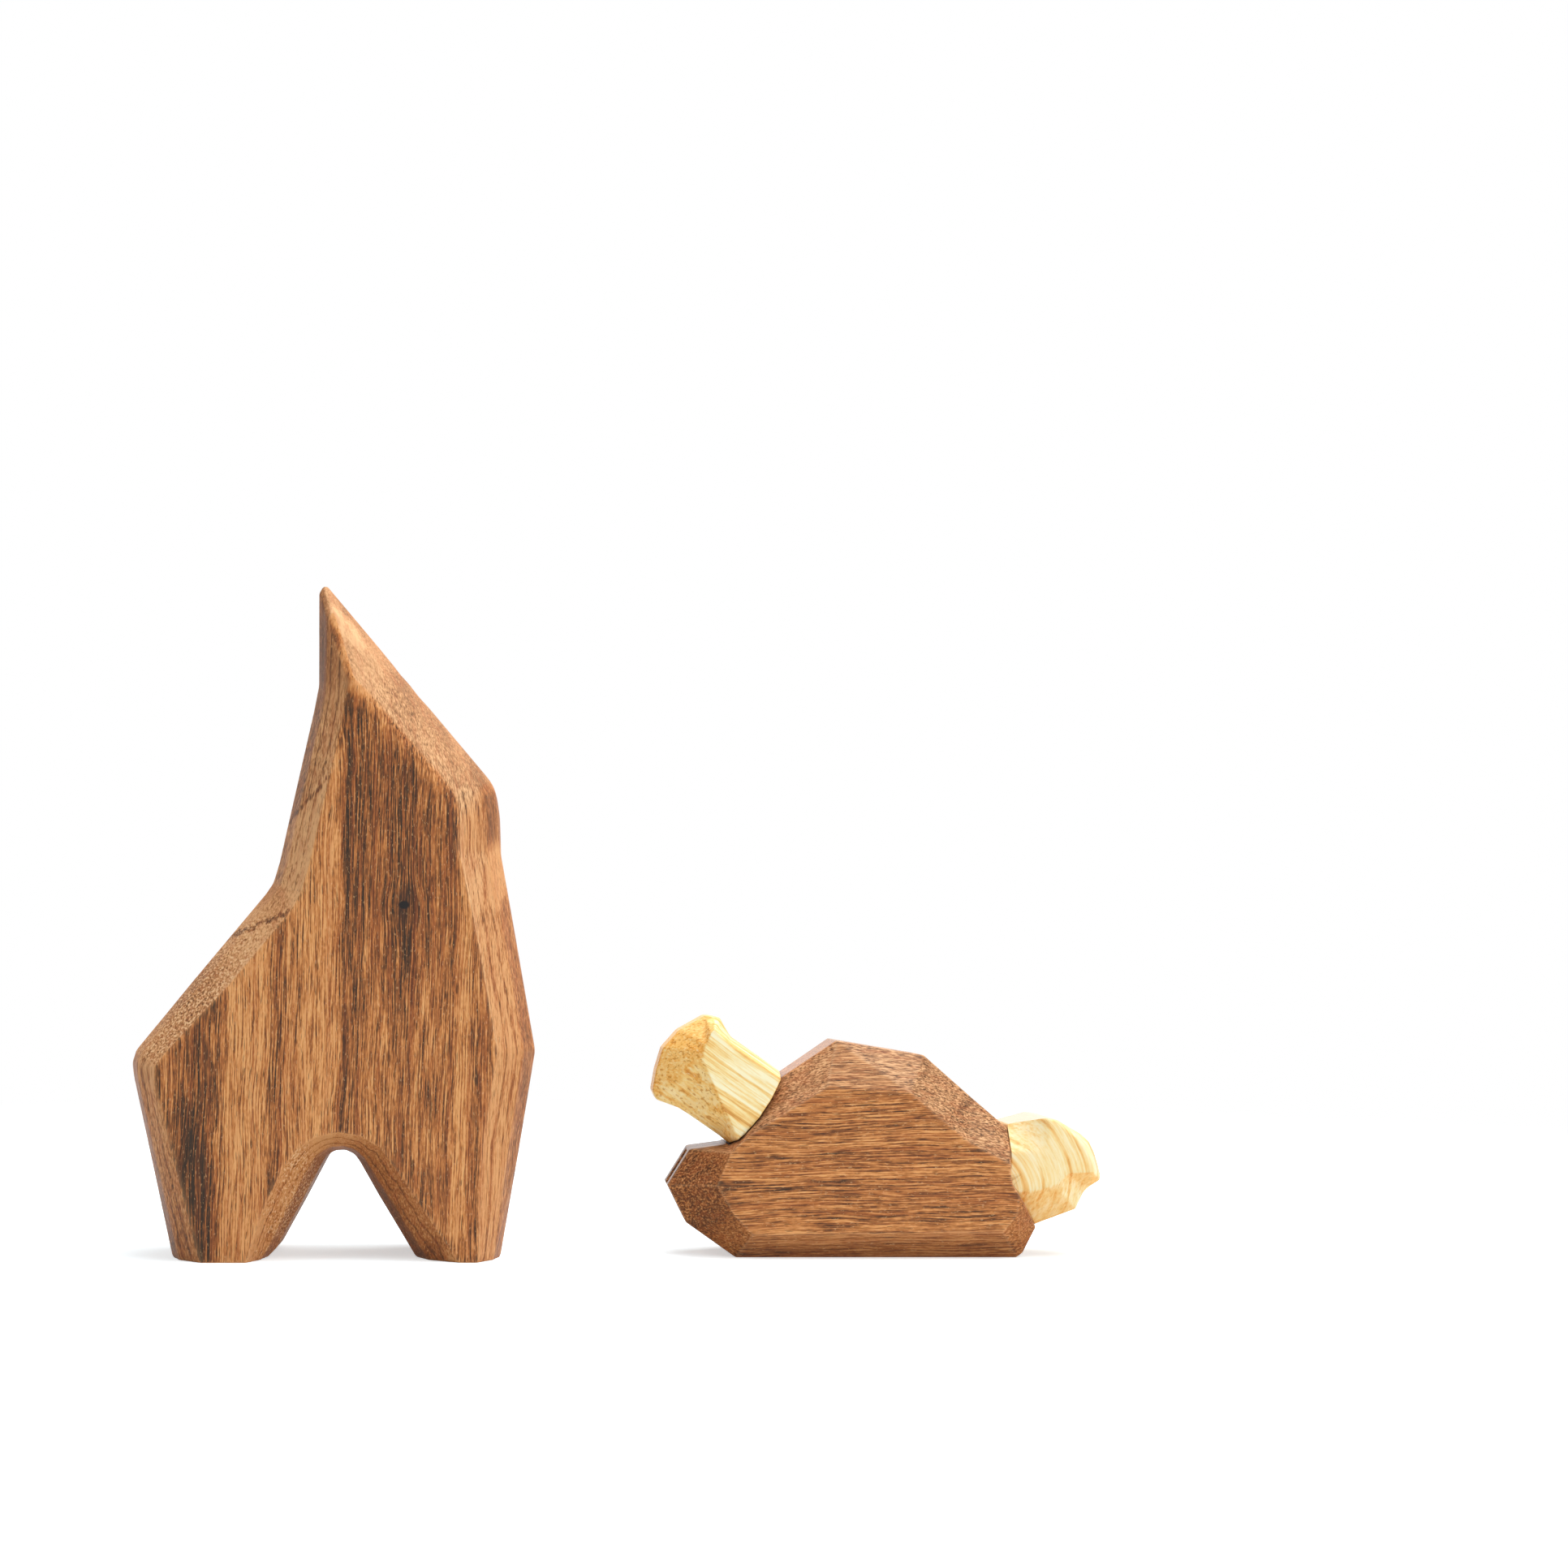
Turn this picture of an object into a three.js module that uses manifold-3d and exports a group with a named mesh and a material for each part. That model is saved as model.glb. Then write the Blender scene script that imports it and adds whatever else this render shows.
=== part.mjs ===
// Giraffe figurine in walnut and ash. The head is off the neck and lies beside the standing body.
// Millimetres, +Z up, the front face looks along -Y, the floor is at Z = 0.
import * as THREE from 'three';
import { mergeVertices } from 'three/addons/utils/BufferGeometryUtils.js';
import Module from 'manifold-3d';

const wasm = await Module();
wasm.setup();

// Reach of the body and of the head along X, each from its own origin, and the space between them.
const BODY_BACK = 44;
const BODY_CHEST = 44.4;
const HORN_REACH = 51.1;
const NOSE_REACH = 52.1;
const SPACE_BETWEEN = 26.6;

// Where the two groups lie, so that the whole is centred on X = 0.
const HALF_SPAN = (BODY_BACK + BODY_CHEST + SPACE_BETWEEN + HORN_REACH + NOSE_REACH) / 2;
const BODY_X = BODY_BACK - HALF_SPAN;
const HEAD_X = HALF_SPAN - NOSE_REACH;

// Height of the neck's tip, and how far the slanted cut drops from there to the throat.
const NECK_TOP = 149.6;
const NECK_CUT_DROP = 43.4;
const THROAT = NECK_TOP - NECK_CUT_DROP;

// Depths along Y: the flat front and back, the ridge between the two facets, the band round the edge.
const BODY_DEPTH = 38;
const BODY_RIDGE_DEPTH = 28;
const BODY_BAND = 16;
const HEAD_DEPTH = 29;
const HEAD_BAND = 13.5;
const HEAD_BASE_BAND = 18;
const CROWN_BAND = 17;
const CHEEK_BAND = 19;
const MUZZLE_DEPTH = 25;
const MUZZLE_BAND = 14;
const MUZZLE_TOP_BAND = 24.2;
const HORN_DEPTH = 25;
const HORN_BAND = 11;

// Share of a facet's width that the steep outer facet of the body takes.
const BODY_RIDGE_SHARE = 0.3;

// Joints between the pieces.
const GLUE_LINE = 0.12;
const DOWEL_FIT = 0.15;
const MAGNET_FIT = 0.2;
const MAGNET_RECESS = 0.2;

// Magnet rods lie across the neck cut and across the head's underside.
const MAGNET_DIAMETER = 8;
const MAGNET_WALL = 2.5;
const MAGNET_LENGTH = Math.min(BODY_BAND, HEAD_BASE_BAND) - 2 * MAGNET_WALL;

// Wooden dowels of the muzzle and of the horn.
const DOWEL_DIAMETER = 5;
const DOWEL_LENGTH = 12;
const MUZZLE_DOWEL_TOP = 24.6;
const MUZZLE_DOWEL_PITCH = 7;
const HORN_DOWEL_PITCH = 10;

// Round seat of the horn in the head: centre [x, z], radius, and its two ends in degrees.
const SEAT_CENTRE = [-55.5, 52.9];
const SEAT_RADIUS = 35.6;
const SEAT_FROM = -52.2;
const SEAT_TO = 0;
const HORN_AXIS = -35;

// Groove between the two ears.
const EAR_GROOVE_WIDTH = 4.8;
const EAR_GROOVE_RADIUS = 14;
const EAR_GROOVE_CENTRE = [-55.5, 17.5];

// Round top of the arch between the legs, at the outer edge and at the flat face. Angles in degrees.
const ARCH_STEPS = 5;
const ARCH_EDGE = { centre: [2.1, 19.1], radius: 4.5, from: 165, to: 22 };
const ARCH_FACE = { centre: [2.5, 14.5], radius: 13.6, from: 157, to: 48 };

// Ends of the slanted neck cut and of the head's underside.
const NECK_THROAT = [33.4, THROAT];
const NECK_TIP = [-4.3, NECK_TOP];
const UNDERSIDE_EAR = [-32, 0];
const UNDERSIDE_CHIN = [32.2, 0];

// Seam between head and muzzle, from the top down.
const MUZZLE_SEAM = [[30.05, 29.2], [30.1, 23.9], [29.7, 19.5], [30.2, 16.9], [36.4, 7.6]];

// Outlines seen from the front, counter-clockwise. Each row has a corner of the outer edge
// and the matching corner of the flat face, both as [x, z].
const BODY_ROWS = [
  // nape and shoulder
  [NECK_TIP, [2.8, NECK_TOP - 22]],
  [[-5.3, NECK_TOP - 0.1], [2.4, NECK_TOP - 23]],
  [[-6.1, NECK_TOP - 1.6], [1.9, NECK_TOP - 24]],
  [[-5.6, NECK_TOP - 22.6], [1, NECK_TOP - 31.1]],
  [[-6.6, NECK_TOP - 28.6], [0.2, NECK_TOP - 34.6]],
  [[-10.5, 101.1], [-2.7, 101.1]],
  [[-13.2, 87.2], [-5.5, 86.9]],
  [[-14.5, 82.5], [-7.3, 79.8]],
  [[-16.1, 80], [-9.4, 76]],
  [[-31.2, 60.8], [-22, 59.9]],
  [[0.8 - BODY_BACK, 45.2], [8.4 - BODY_BACK, 44.6]],
  [[-BODY_BACK, 42.5], [6.4 - BODY_BACK, 42]],
  [[0.4 - BODY_BACK, 39.6], [6.6 - BODY_BACK, 38.5]],
  // hind leg
  [[-34, 0], [-26.5, 0]],
  [[-13.4, 0], [-16.8, 0]],
  [[-11.7, 1.8], [-16.2, 2.6]],
  [[-6.6, 11.5], [-13.8, 11]],
  ...archRows(),
  // fore leg
  [[10.5, 13.6], [18, 15.8]],
  [[17.4, 2.6], [27, 2.9]],
  [[19, 0], [28.9, 0]],
  [[37.6, 0], [32.8, 0]],
  [[41.2, 23.4], [33.4, 26]],
  // chest and throat
  [[BODY_CHEST, 45.6], [BODY_CHEST - 8.4, 46]],
  [[39.6, 70.4], [31.2, 70.6]],
  [[35.7, 90.2], [26.6, 90.2]],
  [[35.3, THROAT - 7.4], [26.4, THROAT - 8.6]],
  [[34.5, THROAT - 2.4], [24.9, THROAT - 3.8]],
  [NECK_THROAT, [22.5, THROAT - 0.6]],
];

const HEAD_ROWS = [
  [UNDERSIDE_EAR, [-28.6, 5.5], HEAD_BASE_BAND],
  [UNDERSIDE_CHIN, [27.8, 6.3], HEAD_BASE_BAND],
  [[33.6, 1], [28.6, 7], HEAD_BASE_BAND],
  [[37.4, 7.1], [31.2, 10.1]],
  [[41, 19.9], [32.4, 19.8], CHEEK_BAND],
  [[22, 35.9], [19.9, 26.3]],
  [[10.8, 45.5], [6.7, 37.2]],
  [[-9.5, 48.7], [-12.3, 38.3], CROWN_BAND],
  [[-33, 32.7], [-29.5, 27.6]],
  [[-34.3, 25], [-32.6, 25]],
  [[-42.5, 23.9], [-33.6, 23.8]],
  [[-47.4, 15.9], [-36.7, 16.4]],
  [[-43.1, 7.5], [-32.8, 10]],
];

// The muzzle's two left-hand corners and the horn's two right-hand corners lie inside the head;
// the seam and the seat trim them.
const MUZZLE_ROWS = [
  [[30, 4.8], [29.5, 14.9]],
  [[37, 7.3], [36.2, 15.5]],
  [[46.4, 10.7], [40.1, 16.6]],
  [[47.2, 12.6], [41.2, 17.4]],
  [[48.2, 14.5], [42.2, 18.4]],
  [[49.4, 15.7], [43.1, 19.2]],
  [[NOSE_REACH - 0.1, 17.3], [NOSE_REACH - 3, 19.4]],
  [[NOSE_REACH, 18.4], [NOSE_REACH - 2.7, 20.2]],
  [[NOSE_REACH - 0.6, 20.8], [NOSE_REACH - 3.1, 21.6]],
  [[NOSE_REACH - 1.5, 23.7], [NOSE_REACH - 4, 23.6]],
  [[NOSE_REACH - 2.7, 26.1], [NOSE_REACH - 5, 25.4]],
  [[NOSE_REACH - 4.8, 27.9], [NOSE_REACH - 6.7, 27.2]],
  [[40.7, 31.35], [40.2, 30.8], MUZZLE_TOP_BAND],
  [[38.15, 31.65], [38, 31.2], MUZZLE_TOP_BAND],
  [[26, 29.1], [26, 28.65], MUZZLE_TOP_BAND],
];

const HORN_ROWS = [
  [[-14.8, 36.5], [-15.5, 35.5]],
  [[-33.5, 49.3], [-34.6, 48.2]],
  [[-34.5, 50.9], [-36.2, 49.7]],
  [[-36, 53.5], [-37.7, 51.2]],
  [[-37.5, 53.9], [-38.5, 50.4]],
  [[-39.3, 54], [-39, 49.2]],
  [[5.8 - HORN_REACH, 50.6], [-39.6, 47.6]],
  [[2.2 - HORN_REACH, 46.5], [-39.9, 46.3]],
  [[0.8 - HORN_REACH, 41.7], [-40.1, 45.2]],
  [[-HORN_REACH, 36.9], [-40.2, 44.4]],
  [[0.9 - HORN_REACH, 34.9], [-40.1, 43.8]],
  [[-45.1, 33.1], [-39.3, 42.2]],
  [[-42.7, 31.6], [-38.5, 40.4]],
  [[-35.6, 26.8], [-34.5, 31.7]],
  [[-33.2, 24.9], [-32.2, 26.6]],
  [[-27, 19.5], [-27, 19.9]],
];

const WALNUT = { color: 0x6b4630, roughness: 0.55, metalness: 0 };
const ASH = { color: 0xe6c68f, roughness: 0.5, metalness: 0 };
const BEECH = { color: 0xc99a68, roughness: 0.65, metalness: 0 };
const NICKEL = { color: 0xb9bcc0, roughness: 0.25, metalness: 1 };

const ROUND_STEPS = 48;
const THROUGH = 60;

function toSolid(geometry) {
  const plain = geometry.clone();
  plain.deleteAttribute('normal');
  plain.deleteAttribute('uv');
  const merged = mergeVertices(plain, 1e-4);
  return new wasm.Manifold(new wasm.Mesh({
    numProp: 3,
    vertProperties: Float32Array.from(merged.attributes.position.array),
    triVerts: Uint32Array.from(merged.index.array),
  }));
}

function apart(a, b) {
  return Math.hypot(a[0] - b[0], a[1] - b[1], a[2] - b[2]);
}

// Block with a flat face in front and behind, and facets that run from the faces to the edge band.
// A level is [share of the way from edge to face, depth]; the first level is the edge band.
function faceted(rows, levels) {
  const count = rows.length;
  const rings = [];
  for (const side of [-1, 1]) {
    const order = side < 0 ? [...levels].reverse() : levels;
    for (const [share, depth] of order) {
      rings.push(rows.map(([edge, face, band]) => {
        const x = edge[0] + share * (face[0] - edge[0]);
        const z = edge[1] + share * (face[1] - edge[1]);
        const full = share === 0 && band ? band : depth;
        return [x, side * full / 2, z];
      }));
    }
  }
  const corners = rings.flat();
  const triangles = [];
  const flat = rows.map(([, face]) => new THREE.Vector2(face[0], face[1]));
  const last = (rings.length - 1) * count;
  for (const [a, b, c] of THREE.ShapeUtils.triangulateShape(flat, [])) {
    triangles.push(a, b, c);
    triangles.push(last + a, last + c, last + b);
  }
  for (let ring = 0; ring + 1 < rings.length; ring += 1) {
    for (let i = 0; i < count; i += 1) {
      const a = ring * count + i;
      const b = ring * count + (i + 1) % count;
      const c = a + count;
      const d = b + count;
      if (apart(corners[c], corners[b]) <= apart(corners[a], corners[d])) {
        triangles.push(a, c, b, b, c, d);
      } else {
        triangles.push(a, c, d, a, d, b);
      }
    }
  }
  const geometry = new THREE.BufferGeometry();
  geometry.setAttribute('position', new THREE.Float32BufferAttribute(corners.flat(), 3));
  geometry.setIndex(triangles);
  return toSolid(geometry);
}

// Prism along Y over an outline [x, z], centred on Y = 0.
function prism(outline, depth) {
  const shape = new THREE.Shape(outline.map(([x, z]) => new THREE.Vector2(x, z)));
  const geometry = new THREE.ExtrudeGeometry(shape, { depth, bevelEnabled: false, steps: 1 });
  geometry.rotateX(Math.PI / 2);
  geometry.translate(0, depth / 2, 0);
  return toSolid(geometry);
}

// Round bar along Y.
function bar(x, y, z, diameter, length) {
  const geometry = new THREE.CylinderGeometry(diameter / 2, diameter / 2, length, ROUND_STEPS);
  geometry.translate(x, y, z);
  return toSolid(geometry);
}

// Round bar in the XZ plane, tilted by an angle above +X, at a depth y.
function pin(x, y, z, angle, diameter, length) {
  const geometry = new THREE.CylinderGeometry(diameter / 2, diameter / 2, length, ROUND_STEPS);
  geometry.rotateZ(Math.PI / 2);
  geometry.rotateY(-angle);
  geometry.translate(x, y, z);
  return toSolid(geometry);
}

function onCircle(centre, radius, angle) {
  const turn = THREE.MathUtils.degToRad(angle);
  return [centre[0] + radius * Math.cos(turn), centre[1] + radius * Math.sin(turn)];
}

function archRows() {
  return Array.from({ length: ARCH_STEPS + 1 }, (_, i) => [ARCH_EDGE, ARCH_FACE].map(
    ({ centre, radius, from, to }) => onCircle(centre, radius, from + (to - from) * i / ARCH_STEPS),
  ));
}

// Sector that the horn's base fills.
function seatSector(radius, from, to) {
  const outline = [SEAT_CENTRE];
  for (let i = 0; i <= ROUND_STEPS; i += 1) {
    outline.push(onCircle(SEAT_CENTRE, radius, from + (to - from) * i / ROUND_STEPS));
  }
  return prism(outline, THROUGH);
}

// Everything on the muzzle's side of the seam, moved along X by an offset.
function muzzleSide(offset) {
  const seam = MUZZLE_SEAM.map(([x, z]) => [x + offset, z]);
  const top = seam[0];
  const [beforeEnd, end] = seam.slice(-2);
  const reach = 0.4;
  const below = [end[0] + reach * (end[0] - beforeEnd[0]), end[1] + reach * (end[1] - beforeEnd[1])];
  const right = end[0] + THROUGH;
  const high = top[1] + THROUGH;
  return prism([...seam, below, [right, below[1]], [right, high], [top[0], high]], THROUGH);
}

// Groove with a round bottom that a magnet rod lies in, open towards the mating face.
// The face passes through a point and looks along a unit normal [x, z].
function magnetGroove(point, normal) {
  const radius = MAGNET_DIAMETER / 2 + MAGNET_FIT;
  const length = MAGNET_LENGTH + 2 * MAGNET_FIT;
  const rest = magnetCentre(point, normal);
  const along = [normal[1], -normal[0]];
  const open = MAGNET_DIAMETER;
  const slot = [[radius, 0], [radius, open], [-radius, open], [-radius, 0]].map(([a, n]) => [
    rest[0] + along[0] * a + normal[0] * n,
    rest[1] + along[1] * a + normal[1] * n,
  ]);
  return bar(rest[0], 0, rest[1], 2 * radius, length).add(prism(slot, length));
}

function magnetCentre(point, normal) {
  const sunk = MAGNET_DIAMETER / 2 + MAGNET_RECESS;
  return [point[0] - normal[0] * sunk, point[1] - normal[1] * sunk];
}

function middle(a, b) {
  return [(a[0] + b[0]) / 2, (a[1] + b[1]) / 2];
}

// Unit normal on the right-hand side when walking from a to b.
function rightNormal(a, b) {
  const length = Math.hypot(b[0] - a[0], b[1] - a[1]);
  return [(b[1] - a[1]) / length, -(b[0] - a[0]) / length];
}

function piece(name, solid, look) {
  const { vertProperties, triVerts, numProp } = solid.getMesh();
  const positions = new Float32Array(vertProperties.length / numProp * 3);
  for (let i = 0; i < positions.length / 3; i += 1) {
    positions.set(vertProperties.subarray(i * numProp, i * numProp + 3), i * 3);
  }
  const geometry = new THREE.BufferGeometry();
  geometry.setAttribute('position', new THREE.BufferAttribute(positions, 3));
  geometry.setIndex(Array.from(triVerts));
  geometry.computeVertexNormals();
  const mesh = new THREE.Mesh(geometry, new THREE.MeshStandardMaterial(look));
  mesh.name = name;
  return mesh;
}

// Mating faces.
const neckMiddle = middle(NECK_THROAT, NECK_TIP);
const neckNormal = rightNormal(NECK_THROAT, NECK_TIP);
const baseMiddle = middle(UNDERSIDE_EAR, UNDERSIDE_CHIN);
const baseNormal = [0, -1];
const neckMagnetAt = magnetCentre(neckMiddle, neckNormal);
const headMagnetAt = magnetCentre(baseMiddle, baseNormal);

// Dowels and the holes they fill, half in each piece.
const dowelHole = DOWEL_DIAMETER + 2 * DOWEL_FIT;
const dowelReach = DOWEL_LENGTH + 2 * DOWEL_FIT;
const muzzleDowels = [0, 1].map((row) => [
  MUZZLE_SEAM[0][0], 0, MUZZLE_DOWEL_TOP - row * MUZZLE_DOWEL_PITCH, 0,
]);
const hornAngle = THREE.MathUtils.degToRad(HORN_AXIS);
const hornRoot = onCircle(SEAT_CENTRE, SEAT_RADIUS, HORN_AXIS);
const hornDowels = [-1, 1].map((side) => [
  hornRoot[0], side * HORN_DOWEL_PITCH / 2, hornRoot[1], hornAngle,
]);
const muzzleHoles = muzzleDowels.map((at) => pin(...at, dowelHole, dowelReach));
const hornHoles = hornDowels.map((at) => pin(...at, dowelHole, dowelReach));

const body = faceted(BODY_ROWS, [[0, BODY_BAND], [BODY_RIDGE_SHARE, BODY_RIDGE_DEPTH], [1, BODY_DEPTH]])
  .subtract(magnetGroove(neckMiddle, neckNormal));

const [grooveX, grooveZ] = EAR_GROOVE_CENTRE;
const earGroove = bar(grooveX, 0, grooveZ, 2 * EAR_GROOVE_RADIUS, EAR_GROOVE_WIDTH);
const headBlock = [
  muzzleSide(0),
  seatSector(SEAT_RADIUS, SEAT_FROM, SEAT_TO),
  earGroove,
  magnetGroove(baseMiddle, baseNormal),
  ...muzzleHoles,
  ...hornHoles,
].reduce((block, cutter) => block.subtract(cutter), faceted(HEAD_ROWS, [[0, HEAD_BAND], [1, HEAD_DEPTH]]));

const muzzle = muzzleHoles.reduce(
  (block, cutter) => block.subtract(cutter),
  faceted(MUZZLE_ROWS, [[0, MUZZLE_BAND], [1, MUZZLE_DEPTH]]).intersect(muzzleSide(GLUE_LINE)),
);

const [seatX, seatZ] = SEAT_CENTRE;
const hornRound = bar(seatX, 0, seatZ, 2 * (SEAT_RADIUS - GLUE_LINE), THROUGH);
const horn = hornHoles.reduce(
  (block, cutter) => block.subtract(cutter),
  faceted(HORN_ROWS, [[0, HORN_BAND], [1, HORN_DEPTH]]).intersect(hornRound),
);

const magnetRod = ([x, z]) => bar(x, 0, z, MAGNET_DIAMETER, MAGNET_LENGTH);

const bodyGroup = new THREE.Group();
bodyGroup.name = 'body_group';
bodyGroup.position.x = BODY_X;
bodyGroup.add(piece('body', body, WALNUT));
bodyGroup.add(piece('neck_magnet', magnetRod(neckMagnetAt), NICKEL));

const headGroup = new THREE.Group();
headGroup.name = 'head_group';
headGroup.position.x = HEAD_X;
headGroup.add(piece('head_block', headBlock, WALNUT));
headGroup.add(piece('head_magnet', magnetRod(headMagnetAt), NICKEL));
headGroup.add(piece('muzzle', muzzle, ASH));
headGroup.add(piece('horn', horn, ASH));
const dowelNames = [
  'muzzle_dowel_upper', 'muzzle_dowel_lower', 'horn_dowel_front', 'horn_dowel_rear',
];
[...muzzleDowels, ...hornDowels].forEach((at, i) => {
  headGroup.add(piece(dowelNames[i], pin(...at, DOWEL_DIAMETER, DOWEL_LENGTH), BEECH));
});

const giraffe = new THREE.Group();
giraffe.name = 'giraffe';
giraffe.add(bodyGroup, headGroup);

export default giraffe;
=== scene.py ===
import math

import bpy
import numpy as np
from mathutils import Matrix, Vector
from mathutils.bvhtree import BVHTree


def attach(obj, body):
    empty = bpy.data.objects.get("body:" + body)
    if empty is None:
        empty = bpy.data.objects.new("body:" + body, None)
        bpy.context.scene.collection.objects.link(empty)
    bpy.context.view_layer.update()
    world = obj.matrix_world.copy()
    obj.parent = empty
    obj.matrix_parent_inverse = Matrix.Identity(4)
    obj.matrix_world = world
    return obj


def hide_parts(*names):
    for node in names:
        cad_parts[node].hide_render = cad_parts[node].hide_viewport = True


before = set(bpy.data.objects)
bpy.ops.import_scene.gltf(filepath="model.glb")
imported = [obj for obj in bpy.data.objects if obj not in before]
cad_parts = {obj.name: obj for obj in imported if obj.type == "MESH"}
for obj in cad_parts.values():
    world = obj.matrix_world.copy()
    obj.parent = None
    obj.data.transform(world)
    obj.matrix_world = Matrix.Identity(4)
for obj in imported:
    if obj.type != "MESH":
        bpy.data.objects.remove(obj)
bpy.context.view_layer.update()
scene = bpy.context.scene
scene.view_settings.view_transform = "Standard"
mm = 0.001
print("frame loaded:", ", ".join(sorted(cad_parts)))


def tint(red, green, blue):  # screen colour 0 to 255 as the linear colour that nodes take
    def linear(level):
        level /= 255
        return level / 12.92 if level <= 0.04045 else ((level + 0.055) / 1.055) ** 2.4
    return linear(red), linear(green), linear(blue), 1.0


class Wire:  # a socket's value, so that shader maths reads as plain Python
    def __init__(self, sheet, socket):
        self.sheet, self.socket = sheet, socket

    def maths(self, operation, *values):
        return self.sheet.node("ShaderNodeMath", {"operation": operation}, values)["Value"]

    def __add__(self, other):
        return self.maths("ADD", self, other)

    def __sub__(self, other):
        return self.maths("SUBTRACT", self, other)

    def __rsub__(self, other):
        return self.maths("SUBTRACT", other, self)

    def __mul__(self, other):
        return self.maths("MULTIPLY", self, other)

    def __truediv__(self, other):
        return self.maths("DIVIDE", self, other)

    def __rtruediv__(self, other):
        return self.maths("DIVIDE", other, self)

    def __pow__(self, other):
        return self.maths("POWER", self, other)

    def __abs__(self):
        return self.maths("ABSOLUTE", self)

    def most(self, other):
        return self.maths("MAXIMUM", self, other)

    def fraction(self):
        return self.maths("FRACT", self)

    __radd__ = __add__
    __rmul__ = __mul__


class Sheet:  # one node tree
    def __init__(self, tree):
        self.tree = tree
        tree.nodes.clear()

    def pick(self, sockets, key):
        if isinstance(key, int):
            return sockets[key]
        return next(s for s in sockets if s.enabled and s.name == key)

    def node(self, kind, settings=None, values=()):
        made = self.tree.nodes.new(kind)
        for key, setting in (settings or {}).items():
            if key == "stops":
                self.setStops(made.color_ramp, setting)
            elif key == "ease":
                made.color_ramp.interpolation = setting
            else:
                setattr(made, key, setting)
        for key, value in (values.items() if isinstance(values, dict) else enumerate(values)):
            socket = self.pick(made.inputs, key)
            if isinstance(value, Wire):
                self.tree.links.new(value.socket, socket)
            else:
                socket.default_value = value
        return {s.name: Wire(self, s) for s in made.outputs if s.enabled}

    def setStops(self, ramp, stops):
        while len(ramp.elements) < len(stops):
            ramp.elements.new(1.0)
        for element, (place, colour) in zip(ramp.elements, stops):
            element.position, element.color = place, colour

    def ramp(self, value, stops, ease="LINEAR"):
        return self.node("ShaderNodeValToRGB", {"stops": stops, "ease": ease}, [value])["Color"]

    def curve(self, value, stops):  # a level looked up along stops of (place, level)
        low, wide = stops[0][0], stops[-1][0] - stops[0][0]
        greys = [((at - low) / wide, (level, level, level, 1)) for at, level in stops]
        shade = self.ramp((value - low) / wide, greys, "EASE")
        return self.node("ShaderNodeRGBToBW", None, [shade])["Val"]

    def mix(self, factor, first, second, blend="MIX"):
        return self.node("ShaderNodeMix", {"data_type": "RGBA", "blend_type": blend},
                         {"Factor": factor, "A": first, "B": second})["Result"]

    def step(self, value, low, high):  # 0 below low, 1 above high, eased between
        return self.node("ShaderNodeMapRange", {"interpolation_type": "SMOOTHSTEP"},
                         {"Value": value, "From Min": low, "From Max": high})["Result"]

    def noise(self, vector, detail=2.0, rough=0.5):
        return self.node("ShaderNodeTexNoise", None,
                         {"Vector": vector, "Scale": 1.0, "Detail": detail, "Roughness": rough})["Fac"]

    def join(self, x, y, z):
        return self.node("ShaderNodeCombineXYZ", None, [x, y, z])["Vector"]

    def split(self, vector):
        parts = self.node("ShaderNodeSeparateXYZ", None, [vector])
        return [parts["X"], parts["Y"], parts["Z"]]


def newFinish(name):
    material = bpy.data.materials.new(name)
    material.use_nodes = True
    return material, Sheet(material.node_tree)


# camera at the photograph's viewing angle, millimetres and degrees
cameraView = {"place": (-21.45, -552.0, 65.46), "turn": 5.902, "rise": 4.34, "roll": 0.70,
              "lens": 55.0, "sensor": 36.0, "nearest": 10.0}


def makeCamera(look):
    turn, rise, roll = (math.radians(look[key]) for key in ("turn", "rise", "roll"))
    level = Vector((math.sin(turn), math.cos(turn), 0))
    ahead = level * math.cos(rise) + Vector((0, 0, math.sin(rise)))
    right = ahead.cross(Vector((0, 0, 1))).normalized()
    up = right.cross(ahead)
    side = right * math.cos(roll) + up * math.sin(roll)
    top = up * math.cos(roll) - right * math.sin(roll)
    camera = bpy.data.objects.new("camera", bpy.data.cameras.new("camera"))
    camera.data.lens, camera.data.sensor_width = look["lens"], look["sensor"]
    camera.data.clip_start = look["nearest"] * mm
    stand = Matrix.Translation(Vector(look["place"]) * mm)
    camera.matrix_world = stand @ Matrix((side, top, -ahead)).transposed().to_4x4()
    scene.collection.objects.link(camera)
    scene.camera = camera


# softboxes: place and target in millimetres, width, height, and watts
studio = {
    "overhead": {"place": (160, 60, 760), "target": (0, 0, 40), "size": (900, 700), "watts": 8.6},
    "rightBox": {"place": (640, -480, 360), "target": (0, 0, 60), "size": (640, 640), "watts": 2.9},
    "leftBox": {"place": (-560, -220, 720), "target": (0, 0, 60), "size": (400, 400), "watts": 1.8},
    "frontBox": {"place": (260, -820, 420), "target": (0, 0, 60), "size": (600, 500), "watts": 0.6},
}
# the floor turns to plain white between clearFrom and clearTo, millimetres from the middle
surround = {"ambient": 0.15, "floorGlow": 0.54, "floorColour": (222, 234, 239),
            "floorReach": 4000, "clearFrom": 260, "clearTo": 620}


def makeLamps(boxes):
    for name, box in boxes.items():
        lamp = bpy.data.lights.new(name, "AREA")
        lamp.shape, lamp.size, lamp.size_y = "RECTANGLE", box["size"][0] * mm, box["size"][1] * mm
        lamp.energy = box["watts"]
        holder = bpy.data.objects.new(name, lamp)
        place, target = Vector(box["place"]) * mm, Vector(box["target"]) * mm
        aim = (target - place).to_track_quat("-Z", "Y").to_matrix().to_4x4()
        holder.matrix_world = Matrix.Translation(place) @ aim
        scene.collection.objects.link(holder)


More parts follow.
